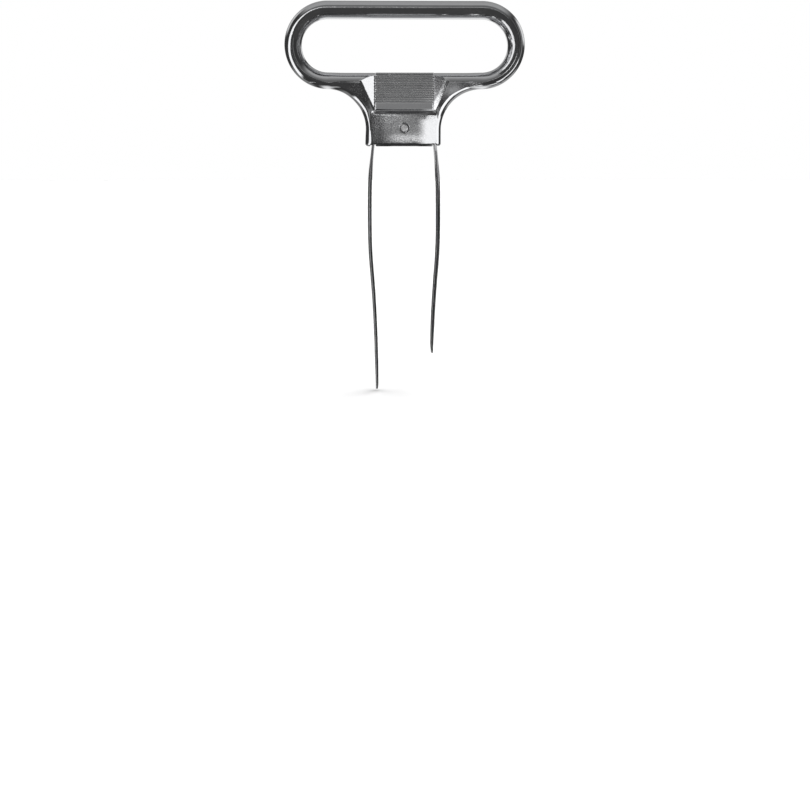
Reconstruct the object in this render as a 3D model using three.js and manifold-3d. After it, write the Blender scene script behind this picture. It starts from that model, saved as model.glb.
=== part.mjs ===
// Two-blade cork puller: a cast handle with an oval finger loop and a ribbed pad, two spring steel
// blades held by their tangs in the handle's collar, a spacer between the tangs and one cross pin.
// Millimetres. +Z up, X along the loop, Y is depth, and the front faces -Y. The origin is the middle of
// the collar's underside, a flat face that looks down.
import * as THREE from "three";
import { mergeVertices } from "three/addons/utils/BufferGeometryUtils.js";
import { ConvexGeometry } from "three/addons/geometries/ConvexGeometry.js";
import Module from "manifold-3d";

const wasm = await Module();
wasm.setup();

// ---- driving dimensions, mm -------------------------------------------------------------------------
// Finger loop: two stadiums, the outer edge and the opening.
const LOOP_OUTER = { halfLength: 22.35, radius: 12.72, z: 29.44 };
const LOOP_INNER = { halfLength: 22.3, radius: 7.7, z: 29.2 };
const LOOP_HALF_DEPTH = 4.05;
const LOOP_INNER_SQUARENESS = 2.8; // the side that faces the opening is flatter than an ellipse (2)

// Web and collar: half width by height, and half depth by height.
const BODY_HALF_WIDTH = [
  [0, 10.2], [0.25, 10.6], [0.7, 10.83], [1.5, 10.9], [4.1, 10.95], [5.8, 11.15], [7.6, 11.5],
  [9.3, 11.95], [10.2, 12.3], [11.1, 12.8], [12.0, 13.4], [12.8, 14.15], [13.7, 15.25],
  [14.6, 16.6], [15.5, 18.5], [16.3, 21.2], [17.0, 23.8], [17.8, 25.8], [18.6, 26.6],
];
const BODY_HALF_DEPTH = [
  [0, 4.75], [0.25, 5.1], [0.7, 5.28], [1.5, 5.35], [7.2, 5.3], [8.6, 5.05], [10.0, 4.6],
  [11.2, 4.25], [12.5, 4.12], [18.6, 4.12],
];
const BODY_CORNER = [
  [0, 1.5], [15.2, 1.5], [17.6, 3.2], [18.6, 3.3],
]; // radius of the rounded edge along the silhouette, which fades into the loop's round
const COLLAR_BULGE = 0.75; // how far the collar's front stands out at the middle, over its edges
const WEB_BULGE = 0.12;

// Wedge pads on the front and the back, ribbed for the thumb and the finger.
const PAD = {
  halfWidth: 8.55, bottomZ: 10.6, topZ: 21.1,
  bottomY: 4.35, slope: 0.325, // how far the face stands out at the bottom, and how fast it rises
  cornerX: 12.7, cornerZ: 19.05, cornerY: 4.1, // where the side facet runs into the web
};
const RIB = { pitch: 0.64, depth: 0.24, fromZ: 12.6, count: 12 };

// Blades: x of the outer face by height, and what they measure.
const BLADE_FACE = [
  [7.6, 9.4], [6, 9.4], [4, 9.4], [2, 9.43], [0, 9.6], [-2.4, 9.88], [-4.7, 10.2], [-8.2, 10.58],
  [-12, 10.76], [-16, 10.82], [-21, 10.84], [-26, 10.8], [-31, 10.64], [-35, 10.38], [-40, 9.98],
  [-45, 9.62], [-50, 9.34], [-56, 9.08], [-62, 8.9], [-68, 8.76], [-73, 8.68],
];
const BLADE_THICKNESS = 0.8;
const BLADE_HALF_WIDTH = 3.5;
const BLADE_TIP_HALF_WIDTH = 2.7;
const BLADE_HOLLOW = 0.45; // how deep the inner face is hollowed across its width
const LONG_BLADE = 73;
const SHORT_BLADE = 62;
const LIP = { z: 8.8, reach: 6.5, bend: 1.1 }; // the tang's top, bent in over the spacer

// Inside the collar.
const CAVITY = { halfWidth: 10.05, halfDepth: 3.85, topZ: 9.65, corner: 0.8 };
const SPACER = { bottomHalfWidth: 8.4, topHalfWidth: 8.0, halfDepth: 3.55, topZ: 7.95 };
const PIN = { z: 5.3, radius: 1.2, end: 4.98, dome: 0.16 };
const PIN_HOLE_RADIUS = 1.5;
const DIMPLE = { radius: 1.7, depth: 0.55 };

// ---- helpers ----------------------------------------------------------------------------------------
function solid(geometry) {
  const g = geometry.index ? geometry.toNonIndexed() : geometry.clone();
  for (const name of Object.keys(g.attributes)) if (name !== "position") g.deleteAttribute(name);
  const merged = mergeVertices(g, 1e-4);
  return new wasm.Manifold(
    new wasm.Mesh({
      numProp: 3,
      vertProperties: new Float32Array(merged.attributes.position.array),
      triVerts: new Uint32Array(merged.index.array),
    }),
  );
}

function geometryOf(manifold) {
  const m = manifold.getMesh();
  const positions = new Float32Array(m.numVert * 3);
  for (let i = 0; i < m.numVert; i++)
    positions.set(m.vertProperties.subarray(i * m.numProp, i * m.numProp + 3), i * 3);
  const g = new THREE.BufferGeometry();
  g.setAttribute("position", new THREE.BufferAttribute(positions, 3));
  g.setIndex(new THREE.BufferAttribute(new Uint32Array(m.triVerts), 1));
  g.computeVertexNormals();
  return g;
}

// A smooth reading of a table of [key, value] rows.
function table(rows) {
  const sorted = [...rows].sort((a, b) => a[0] - b[0]);
  return (key) => {
    if (key <= sorted[0][0]) return sorted[0][1];
    const last = sorted.length - 1;
    if (key >= sorted[last][0]) return sorted[last][1];
    let i = 0;
    while (sorted[i + 1][0] < key) i++;
    const slope = (k) => {
      if (k <= 0 || k >= last) {
        const a = Math.max(0, Math.min(last - 1, k - (k >= last ? 1 : 0)));
        return (sorted[a + 1][1] - sorted[a][1]) / (sorted[a + 1][0] - sorted[a][0]);
      }
      const left = (sorted[k][1] - sorted[k - 1][1]) / (sorted[k][0] - sorted[k - 1][0]);
      const right = (sorted[k + 1][1] - sorted[k][1]) / (sorted[k + 1][0] - sorted[k][0]);
      return left * right <= 0 ? 0 : (2 * left * right) / (left + right);
    };
    const h = sorted[i + 1][0] - sorted[i][0];
    const t = (key - sorted[i][0]) / h;
    const t2 = t * t, t3 = t2 * t;
    return (
      (2 * t3 - 3 * t2 + 1) * sorted[i][1] + (t3 - 2 * t2 + t) * h * slope(i) +
      (-2 * t3 + 3 * t2) * sorted[i + 1][1] + (t3 - t2) * h * slope(i + 1)
    );
  };
}

// One closed body through rings of points: each ring has as many points, in the same order. A closed
// loft joins the last ring to the first; an open one is capped with a fan at both ends.
function loft(rings, closed = false) {
  const n = rings[0].length, positions = [], index = [];
  for (const ring of rings) for (const p of ring) positions.push(p.x, p.y, p.z);
  const spans = closed ? rings.length : rings.length - 1;
  for (let i = 0; i < spans; i++) {
    const a = i * n, b = ((i + 1) % rings.length) * n;
    for (let j = 0; j < n; j++) {
      const k = (j + 1) % n;
      index.push(a + j, a + k, b + k, a + j, b + k, b + j);
    }
  }
  if (!closed) {
    for (const [start, turn] of [[0, true], [(rings.length - 1) * n, false]]) {
      const ring = rings[start / n];
      const c = ring.reduce((s, p) => s.add(p), new THREE.Vector3()).divideScalar(n);
      const hub = positions.length / 3;
      positions.push(c.x, c.y, c.z);
      for (let j = 0; j < n; j++) {
        const k = (j + 1) % n;
        if (turn) index.push(hub, start + k, start + j);
        else index.push(hub, start + j, start + k);
      }
    }
  }
  const g = new THREE.BufferGeometry();
  g.setAttribute("position", new THREE.Float32BufferAttribute(positions, 3));
  g.setIndex(index);
  const made = solid(g);
  if (made.volume() > 0) return made;
  for (let i = 0; i < index.length; i += 3) [index[i], index[i + 1]] = [index[i + 1], index[i]];
  g.setIndex(index);
  return solid(g);
}

function cylinderAlongY(radius, y0, y1, x, z, segments = 40) {
  const g = new THREE.CylinderGeometry(radius, radius, y1 - y0, segments);
  g.translate(x, (y0 + y1) / 2, 0);
  g.translate(0, 0, z);
  return solid(g);
}

// ---- finger loop ------------------------------------------------------------------------------------
// A point of a stadium: s runs 0..1 round it, with the same share of s on each straight and each end.
function stadium({ halfLength, radius, z }, s) {
  const q = ((s % 1) + 1) % 1;
  if (q < 0.3) return new THREE.Vector3(halfLength - (q / 0.3) * 2 * halfLength, 0, z + radius);
  if (q < 0.5) {
    const a = Math.PI / 2 + ((q - 0.3) / 0.2) * Math.PI;
    return new THREE.Vector3(-halfLength + radius * Math.cos(a), 0, z + radius * Math.sin(a));
  }
  if (q < 0.8) return new THREE.Vector3(-halfLength + ((q - 0.5) / 0.3) * 2 * halfLength, 0, z - radius);
  const a = -Math.PI / 2 + ((q - 0.8) / 0.2) * Math.PI;
  return new THREE.Vector3(halfLength + radius * Math.cos(a), 0, z + radius * Math.sin(a));
}

const loopStations = [];
for (let i = 0; i < 6; i++) loopStations.push((i / 6) * 0.3);
for (let i = 0; i < 30; i++) loopStations.push(0.3 + (i / 30) * 0.2);
for (let i = 0; i < 6; i++) loopStations.push(0.5 + (i / 6) * 0.3);
for (let i = 0; i < 30; i++) loopStations.push(0.8 + (i / 30) * 0.2);

const LOOP_SECTION_POINTS = 32;
const loop = loft(
  loopStations.map((s) => {
    const outer = stadium(LOOP_OUTER, s), inner = stadium(LOOP_INNER, s);
    const middle = outer.clone().add(inner).multiplyScalar(0.5);
    const half = outer.clone().sub(inner).multiplyScalar(0.5);
    const ring = [];
    for (let j = 0; j < LOOP_SECTION_POINTS; j++) {
      const a = (j / LOOP_SECTION_POINTS) * 2 * Math.PI;
      const power = Math.cos(a) < 0 ? 2 / LOOP_INNER_SQUARENESS : 1;
      const c = Math.sign(Math.cos(a)) * Math.abs(Math.cos(a)) ** power;
      const v = Math.sign(Math.sin(a)) * Math.abs(Math.sin(a)) ** power;
      ring.push(
        middle.clone().addScaledVector(half, c).add(new THREE.Vector3(0, LOOP_HALF_DEPTH * v, 0)),
      );
    }
    return ring;
  }),
  true,
);

// ---- web and collar ---------------------------------------------------------------------------------
const halfWidthAt = table(BODY_HALF_WIDTH);
const halfDepthAt = table(BODY_HALF_DEPTH);
const cornerAt = table(BODY_CORNER);
const bulgeAt = table([[0, COLLAR_BULGE], [7, COLLAR_BULGE], [11.5, WEB_BULGE], [18.6, WEB_BULGE]]);

// A level section: a rounded rectangle whose front and back stand out a little in the middle.
function bodySection(z) {
  const w = halfWidthAt(z), d = halfDepthAt(z), bulge = bulgeAt(z);
  const flat = d - bulge, r = Math.min(cornerAt(z), flat - 0.4);
  const quarter = [];
  for (let i = 0; i <= 5; i++) quarter.push([((w - r) * i) / 5, flat]);
  for (let i = 1; i <= 6; i++) {
    const a = Math.PI / 2 - (i / 6) * (Math.PI / 2);
    quarter.push([w - r + r * Math.cos(a), flat - r + r * Math.sin(a)]);
  }
  const lifted = quarter.map(([x, y]) => [x, y + bulge * (1 - (x / w) ** 2) * (y / flat)]);
  const ring = [];
  for (const [x, y] of lifted) ring.push(new THREE.Vector3(x, y, z));
  for (const [x, y] of [...lifted].reverse()) ring.push(new THREE.Vector3(x, -y, z));
  for (const [x, y] of lifted.slice(1)) ring.push(new THREE.Vector3(-x, -y, z));
  for (const [x, y] of [...lifted].reverse().slice(0, -1)) ring.push(new THREE.Vector3(-x, y, z));
  return ring;
}

const bodyLevels = [
  0, 0.12, 0.35, 0.7, 1.2, 2.5, 4, 5.5, 7, 8, 9, 10, 10.8, 11.5, 12.2, 12.9, 13.5, 14.1, 14.7, 15.2,
  15.6, 16, 16.5, 17.2, 18, 18.6,
];
const body = loft(bodyLevels.map(bodySection));

// ---- wedge pads -------------------------------------------------------------------------------------
const padFace = (z) => PAD.bottomY + PAD.slope * (z - PAD.bottomZ);

// The pad's side view, with its ribs, pushed out along X.
function padCentre() {
  const outline = new THREE.Shape(); // x of the shape is depth, y of the shape is height
  outline.moveTo(1.5, PAD.bottomZ);
  outline.lineTo(padFace(PAD.bottomZ), PAD.bottomZ);
  for (let i = 0; i < RIB.count; i++) {
    const z = RIB.fromZ + i * RIB.pitch;
    outline.lineTo(padFace(z), z);
    outline.lineTo(padFace(z + RIB.pitch * 0.5) - RIB.depth, z + RIB.pitch * 0.5);
  }
  const end = RIB.fromZ + RIB.count * RIB.pitch;
  outline.lineTo(padFace(end), end);
  outline.lineTo(padFace(PAD.topZ - 0.35), PAD.topZ - 0.35);
  outline.lineTo(padFace(PAD.topZ) - 0.45, PAD.topZ);
  outline.lineTo(1.5, PAD.topZ);
  outline.closePath();
  const g = new THREE.ExtrudeGeometry(outline, {
    depth: 2 * PAD.halfWidth, bevelEnabled: false, steps: 1,
  });
  // the shape's x turns to -Y, its y to +Z and the extrusion to -X
  g.applyMatrix4(
    new THREE.Matrix4().set(0, 0, -1, PAD.halfWidth, -1, 0, 0, 0, 0, 1, 0, 0, 0, 0, 0, 1),
  );
  return solid(g);
}

// The facet between the pad's side edge and the web, as the hull of its corners.
function padSide(sign) {
  const edge = [PAD.bottomZ, 20.45];
  // plane through the pad's side edge and the far corner: depth as a function of x and z
  const dydx =
    (PAD.cornerY - padFace(PAD.cornerZ)) / (PAD.cornerX - PAD.halfWidth);
  const depth = (x, z) => padFace(z) + dydx * (x - PAD.halfWidth);
  const points = [];
  const add = (x, z) => {
    points.push(new THREE.Vector3(sign * x, -depth(x, z), z));
    points.push(new THREE.Vector3(sign * x, -1.6, z));
  };
  const inside = PAD.halfWidth - 1.2;
  for (const z of edge) {
    points.push(new THREE.Vector3(sign * PAD.halfWidth, -padFace(z) + 0.02, z));
    points.push(new THREE.Vector3(sign * inside, -padFace(z) + RIB.depth + 0.12, z));
    points.push(new THREE.Vector3(sign * PAD.halfWidth, -1.6, z));
    points.push(new THREE.Vector3(sign * inside, -1.6, z));
  }
  add(PAD.halfWidth + (PAD.bottomY - PAD.cornerY) / -dydx, PAD.bottomZ);
  add(PAD.cornerX, PAD.cornerZ);
  add(11.4, 19.72);
  add(9.9, 20.22);
  return solid(new ConvexGeometry(points));
}

const frontPad = padCentre().add(padSide(1)).add(padSide(-1));
const backPad = frontPad.rotate([0, 0, 180]);

// ---- handle: one casting ----------------------------------------------------------------------------
function cavity() {
  const { halfWidth: w, halfDepth: d, corner: r, topZ } = CAVITY;
  const shape = new THREE.Shape();
  shape.moveTo(-w + r, -d);
  shape.lineTo(w - r, -d);
  shape.absarc(w - r, -d + r, r, -Math.PI / 2, 0);
  shape.lineTo(w, d - r);
  shape.absarc(w - r, d - r, r, 0, Math.PI / 2);
  shape.lineTo(-w + r, d);
  shape.absarc(-w + r, d - r, r, Math.PI / 2, Math.PI);
  shape.lineTo(-w, -d + r);
  shape.absarc(-w + r, -d + r, r, Math.PI, 1.5 * Math.PI);
  const g = new THREE.ExtrudeGeometry(shape, { depth: topZ + 2, bevelEnabled: false, curveSegments: 5 });
  g.translate(0, 0, -2);
  return solid(g);
}

const collarFront = halfDepthAt(PIN.z);
const handleSolid = loop
  .add(body)
  .add(frontPad)
  .add(backPad)
  .subtract(cavity())
  .subtract(cylinderAlongY(PIN_HOLE_RADIUS, -9, 9, 0, PIN.z))
  .subtract(cylinderAlongY(DIMPLE.radius, -collarFront - 2, -collarFront + DIMPLE.depth, 0, PIN.z))
  .subtract(cylinderAlongY(DIMPLE.radius, collarFront - DIMPLE.depth, collarFront + 2, 0, PIN.z));

// ---- blades -----------------------------------------------------------------------------------------
const bladeFaceAt = table(BLADE_FACE);

// The blade's middle line in the XZ plane, from the lip's end down to the tip, for the +X side.
function bladePath(length) {
  const half = BLADE_THICKNESS / 2;
  const corner = bladeFaceAt(7.6) - half; // x of the straight tang's middle line
  const path = [];
  const bend = LIP.bend;
  for (let i = 0; i <= 3; i++)
    path.push(new THREE.Vector2(LIP.reach + ((corner - bend - LIP.reach) * i) / 3, LIP.z));
  for (let i = 1; i <= 6; i++) {
    const a = Math.PI / 2 - (i / 6) * (Math.PI / 2);
    path.push(new THREE.Vector2(corner - bend + bend * Math.cos(a), LIP.z - bend + bend * Math.sin(a)));
  }
  const start = LIP.z - bend;
  const steps = 46;
  for (let i = 1; i <= steps; i++) {
    const z = start + ((-length - start) * i) / steps;
    path.push(new THREE.Vector2(bladeFaceAt(z) - half, z));
  }
  return path;
}

function blade(side, length) {
  const path = bladePath(length);
  // finer stations where the tip is rounded
  const last = path.pop();
  const round = BLADE_TIP_HALF_WIDTH;
  for (const back of [2.7, 2.3, 1.7, 1.1, 0.6, 0.25, 0.05]) {
    const z = -length + back;
    if (z < path[path.length - 1].y)
      path.push(new THREE.Vector2(bladeFaceAt(z) - BLADE_THICKNESS / 2, z));
  }
  path.push(last);
  const rings = path.map((p, i) => {
    const before = path[Math.max(0, i - 1)], after = path[Math.min(path.length - 1, i + 1)];
    const along = after.clone().sub(before).normalize();
    const out = new THREE.Vector2(-along.y, along.x); // to the outer face
    if (out.x < 0 && p.y < LIP.z - LIP.bend) out.negate();
    const below = Math.max(0, -p.y);
    const taper = THREE.MathUtils.smoothstep(below, 12, length);
    let b = BLADE_HALF_WIDTH + (BLADE_TIP_HALF_WIDTH - BLADE_HALF_WIDTH) * taper;
    const left = length + p.y;
    if (p.y < 0 && left < round) b *= Math.max(0.12, Math.sqrt(1 - (1 - left / round) ** 2));
    const hollow =
      BLADE_HOLLOW * THREE.MathUtils.smoothstep(below, 1, 9) * (b / BLADE_HALF_WIDTH) ** 2;
    const half = BLADE_THICKNESS / 2;
    const across = [-1, -0.93, -0.6, -0.3, 0, 0.3, 0.6, 0.93, 1];
    const ring = [];
    for (const f of across) {
      const t = Math.abs(f) === 1 ? half * 0.45 : half;
      const o = t - hollow * f * f;
      ring.push(new THREE.Vector3(side * (p.x + out.x * o), b * f, p.y + out.y * o));
    }
    for (const f of [...across].reverse()) {
      const t = Math.abs(f) === 1 ? half * 0.45 : half;
      const o = -t - hollow * f * f;
      ring.push(new THREE.Vector3(side * (p.x + out.x * o), b * f, p.y + out.y * o));
    }
    return ring;
  });
  return loft(rings);
}

// ---- spacer and pin ---------------------------------------------------------------------------------
function spacer() {
  const { bottomHalfWidth: a, topHalfWidth: b, halfDepth: d, topZ } = SPACER;
  const shape = new THREE.Shape();
  shape.moveTo(-a, 0);
  shape.lineTo(a, 0);
  shape.lineTo(b, topZ - 0.4);
  shape.lineTo(b - 0.4, topZ);
  shape.lineTo(-b + 0.4, topZ);
  shape.lineTo(-b, topZ - 0.4);
  shape.closePath();
  const g = new THREE.ExtrudeGeometry(shape, { depth: 2 * d, bevelEnabled: false });
  g.translate(0, 0, -d);
  g.rotateX(Math.PI / 2);
  return solid(g).subtract(cylinderAlongY(PIN_HOLE_RADIUS, -9, 9, 0, PIN.z));
}

function pin() {
  const { radius: r, end, dome } = PIN;
  const profile = [
    [0, -end], [r * 0.55, -end + dome * 0.35], [r * 0.85, -end + dome], [r, -end + dome * 2],
    [r, end - dome * 2], [r * 0.85, end - dome], [r * 0.55, end - dome * 0.35], [0, end],
  ].map(([x, y]) => new THREE.Vector2(x, y));
  const g = new THREE.LatheGeometry(profile, 40);
  g.translate(0, 0, PIN.z);
  return solid(g);
}

// ---- scene graph ------------------------------------------------------------------------------------
function metal(color, roughness, metalness = 1) {
  return new THREE.MeshStandardMaterial({ color, roughness, metalness });
}

function mesh(name, manifold, material) {
  const m = new THREE.Mesh(geometryOf(manifold), material);
  m.name = name;
  return m;
}

const group = new THREE.Group();
group.name = "two_blade_cork_puller";
group.add(
  mesh("handle", handleSolid, metal(0xc9cccf, 0.08)),
  mesh("tang_spacer", spacer(), metal(0x9fa3a6, 0.35)),
  mesh("cross_pin", pin(), metal(0xb4b7ba, 0.25)),
);
const longSide = new THREE.Group();
longSide.name = "long_blade_side";
longSide.add(mesh("long_blade", blade(-1, LONG_BLADE), metal(0xa9adb0, 0.2)));
const shortSide = new THREE.Group();
shortSide.name = "short_blade_side";
shortSide.add(mesh("short_blade", blade(1, SHORT_BLADE), metal(0xa9adb0, 0.2)));
group.add(longSide, shortSide);

export default group;
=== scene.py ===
import math

import bpy
import numpy as np
from mathutils import Matrix, Vector


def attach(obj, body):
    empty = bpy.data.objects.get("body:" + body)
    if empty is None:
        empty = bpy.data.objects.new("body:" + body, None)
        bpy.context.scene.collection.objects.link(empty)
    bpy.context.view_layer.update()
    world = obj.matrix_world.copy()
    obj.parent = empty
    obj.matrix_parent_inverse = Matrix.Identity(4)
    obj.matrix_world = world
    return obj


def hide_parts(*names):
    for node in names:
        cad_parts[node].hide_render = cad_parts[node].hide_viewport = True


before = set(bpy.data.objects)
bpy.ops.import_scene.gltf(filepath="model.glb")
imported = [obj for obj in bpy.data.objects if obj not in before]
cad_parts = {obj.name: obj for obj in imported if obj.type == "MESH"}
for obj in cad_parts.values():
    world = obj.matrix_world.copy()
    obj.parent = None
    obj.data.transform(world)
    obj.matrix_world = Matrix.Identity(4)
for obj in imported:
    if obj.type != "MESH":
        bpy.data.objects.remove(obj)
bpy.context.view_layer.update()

MM = 0.001

# Lengths below are in millimetres, in the part's own frame: +Z up, X along the finger loop, front at -Y,
# the origin in the middle of the collar's underside.


# ---- shared mathematics -----------------------------------------------------------------------------
def smooth(a, b, v):
    t = np.clip((v - a) / (b - a), 0.0, 1.0)
    return t * t * t * (t * (t * 6 - 15) + 10)


def soft_min(a, b, k):
    h = np.maximum(k - np.abs(a - b), 0.0) / k
    return np.minimum(a, b) - h * h * h * (k / 6.0)


def soft_max(a, b, k):
    return -soft_min(-a, -b, k)


def round_max(a, b, r):
    """The inside of both, with their common edge rounded to radius r."""
    a1, b1 = a + r, b + r
    inner = np.minimum(np.maximum(a1, b1), 0.0)
    return inner + np.hypot(np.maximum(a1, 0.0), np.maximum(b1, 0.0)) - r


def rows(table):
    """A smooth monotone reading of a table of (key, value) rows, as the part's source has it."""
    pairs = sorted(table)
    k = np.array([p[0] for p in pairs], float)
    v = np.array([p[1] for p in pairs], float)
    last = len(pairs) - 1
    d = np.diff(v) / np.diff(k)
    m = np.empty(last + 1)
    m[0], m[last] = d[0], d[-1]
    for i in range(1, last):
        a, b = d[i - 1], d[i]
        m[i] = 0.0 if a * b <= 0 else 2 * a * b / (a + b)

    def read(key):
        key = np.clip(np.asarray(key, float), k[0], k[-1])
        i = np.clip(np.searchsorted(k, key) - 1, 0, last - 1)
        h = k[i + 1] - k[i]
        t = (key - k[i]) / h
        t2, t3 = t * t, t * t * t
        return (
            (2 * t3 - 3 * t2 + 1) * v[i] + (t3 - 2 * t2 + t) * h * m[i]
            + (-2 * t3 + 3 * t2) * v[i + 1] + (t3 - t2) * h * m[i + 1]
        )

    return read


def make_mesh(name, points, faces, normals=None):
    """A smooth mesh object from points in millimetres and equal-sized faces."""
    faces = np.asarray(faces, np.int32)
    count, size = faces.shape
    mesh = bpy.data.meshes.new(name)
    mesh.vertices.add(len(points))
    mesh.vertices.foreach_set("co", (np.asarray(points) * MM).astype(np.float32).ravel())
    mesh.loops.add(count * size)
    mesh.loops.foreach_set("vertex_index", faces.ravel())
    mesh.polygons.add(count)
    mesh.polygons.foreach_set("loop_start", np.arange(0, count * size, size, dtype=np.int32))
    mesh.update(calc_edges=True)
    mesh.polygons.foreach_set("use_smooth", np.ones(count, bool))
    if normals is not None:
        mesh.normals_split_custom_set_from_vertices([tuple(n) for n in normals])
    piece = bpy.data.objects.new(name, mesh)
    bpy.context.scene.collection.objects.link(piece)
    return piece


# ---- a mesh from a field ----------------------------------------------------------------------------
def slope_of(field, p, h=0.01):
    g = np.empty_like(p)
    for a in range(3):
        d = np.zeros(3)
        d[a] = h
        g[:, a] = (field(*(p + d).T) - field(*(p - d).T)) / (2 * h)
    return g


def skin(field, xs, ys, zs, steps=3):
    """One quad mesh on the surface where the field is zero, with one point in each grid cell that the
    surface crosses, drawn on to the surface along the field's slope."""
    value = field(xs[:, None, None], ys[None, :, None], zs[None, None, :])
    inside = value < 0
    nx, ny, nz = value.shape
    some = np.zeros((nx - 1, ny - 1, nz - 1), bool)
    whole = ~some
    for i in (0, 1):
        for j in (0, 1):
            for k in (0, 1):
                s = inside[i:nx - 1 + i, j:ny - 1 + j, k:nz - 1 + k]
                some |= s
                whole &= s
    cells = some & ~whole
    ci, cj, ck = np.nonzero(cells)
    number = np.full(cells.shape, -1, np.int64)
    number[ci, cj, ck] = np.arange(len(ci))
    total, crossings = np.zeros((len(ci), 3)), np.zeros(len(ci))
    for corner in [(i, j, k) for i in (0, 1) for j in (0, 1) for k in (0, 1)]:
        for axis in range(3):
            if corner[axis]:
                continue
            other = list(corner)
            other[axis] = 1
            a = value[ci + corner[0], cj + corner[1], ck + corner[2]]
            b = value[ci + other[0], cj + other[1], ck + other[2]]
            cross = (a < 0) != (b < 0)
            t = np.where(cross, a / np.where(cross, a - b, 1.0), 0.0)
            p = np.stack([xs[ci + corner[0]], ys[cj + corner[1]], zs[ck + corner[2]]], 1)
            q = np.stack([xs[ci + other[0]], ys[cj + other[1]], zs[ck + other[2]]], 1)
            total += (p + (q - p) * t[:, None]) * cross[:, None]
            crossings += cross
    points = total / crossings[:, None]
    low = np.stack([xs[ci], ys[cj], zs[ck]], 1)
    high = np.stack([xs[ci + 1], ys[cj + 1], zs[ck + 1]], 1)
    faces = []
    for axis in range(3):
        first, second = [slice(None)] * 3, [slice(None)] * 3
        first[axis], second[axis] = slice(0, -1), slice(1, None)
        s0, s1 = inside[tuple(first)], inside[tuple(second)]
        b, c = [(1, 2), (2, 0), (0, 1)][axis]
        edge = np.argwhere(s0 != s1)
        keep = (
            (edge[:, b] > 0) & (edge[:, c] > 0)
            & (edge[:, b] < value.shape[b] - 1) & (edge[:, c] < value.shape[c] - 1)
        )
        edge = edge[keep]
        leaving = s0[tuple(edge.T)]

        def cell(back_b, back_c):
            at = edge.copy()
            at[:, b] -= back_b
            at[:, c] -= back_c
            return number[tuple(at.T)]

        quad = np.stack([cell(1, 1), cell(0, 1), cell(0, 0), cell(1, 0)], 1)
        quad[~leaving] = quad[~leaving][:, ::-1]
        faces.append(quad)
    faces = np.concatenate(faces)
    for _ in range(steps):
        f = field(*points.T)
        g = slope_of(field, points)
        move = -g * (f / np.maximum((g * g).sum(1), 1e-4))[:, None]
        length = np.linalg.norm(move, axis=1)
        move *= (np.minimum(length, 0.1) / np.maximum(length, 1e-9))[:, None]
        points = np.clip(points + move, low - 0.02, high + 0.02)
    normals = slope_of(field, points)
    normals /= np.maximum(np.linalg.norm(normals, axis=1), 1e-9)[:, None]
    return points, faces, normals


def steps_between(*spans):
    """Grid lines: each span is (start, end, step), and the next one starts where it ends."""
    lines = []
    for a, b, step in spans:
        n = max(1, int(round((b - a) / step)))
        lines.extend(a + (b - a) * np.arange(n) / n)
    lines.append(spans[-1][1])
    return np.array(lines)


# ---- handle: one casting ----------------------------------------------------------------------------
PAD_HALF_WIDTH, PAD_BOTTOM, PAD_TOP = 8.45, 10.6, 21.1
PAD_DEPTH, PAD_SLOPE = 4.35, 0.325
FACET_CORNER = (12.7, 19.05, 4.1)
RIB_PITCH, RIB_DEPTH, RIB_FROM, RIB_TO = 0.64, 0.24, 12.55, 20.75
PIN_HEIGHT = 5.3
FLAT_DEPTH = 4.07
LOOP_HALF, LOOP_RADIUS, LOOP_MIDDLE = 22.35, 12.72, 29.44


def silhouette(x, z):
    """Signed distance in the XZ plane to the outline of the collar, the web and the loop's lower half."""
    side = x - 10.9
    fillet = 12.0 - np.hypot(x - 22.9, z - 4.726)
    loop = np.hypot(np.maximum(x - LOOP_HALF, 0.0), z - LOOP_MIDDLE) - LOOP_RADIUS
    before = (LOOP_HALF - 22.9) * (z - 4.726) - (LOOP_MIDDLE - 4.726) * (x - 22.9)
    return np.where(z < 4.726, side, np.where(before > 0, fillet, loop))


def web_face(x):
    """How far the web's flat face is from the middle."""
    return FLAT_DEPTH - 0.05 * np.minimum(x / 9.6, 1.2) ** 2 - 0.25 * smooth(19.0, 26.0, x)


def finger_loop(x, y, z):
    outer = np.hypot(np.maximum(x - LOOP_HALF, 0.0), z - LOOP_MIDDLE) - LOOP_RADIUS
    inner = np.hypot(np.maximum(x - 22.3, 0.0), z - 29.2) - 7.7
    half, off = 0.5 * (inner - outer), 0.5 * (inner + outer)
    # the lower bar is broader in section: its round comes down to the web's flat face
    broad = (1.0 - smooth(17.0, 26.0, x)) * (1.0 - smooth(22.5, 27.0, z))
    centre = 0.3 + 1.6 * broad
    depth = 4.05 + 0.255 * broad
    s = off - centre
    # half an ellipse outside; inside, a crease along the crest and a bevel down to the hole's wall
    a = np.where(s > 0, half - centre, half + centre + 0.55 * (1.0 - broad))
    n = np.where(s > 0, 2.0, 1.45 + 0.65 * broad)
    u, v = np.hypot(s, 0.04) / a, y / depth
    k = np.maximum(u ** n + v ** n, 1e-6) ** (1.0 / n)
    g = np.hypot(u ** (n - 1) / a, v ** (n - 1) / depth) * np.maximum(k, 0.3) ** (1 - n)
    f = (k - 1.0) / np.maximum(g, 0.2)
    return np.maximum(round_max(f, -inner, 0.25), y - web_face(x) - 0.4 * (1.0 - broad))


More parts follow.
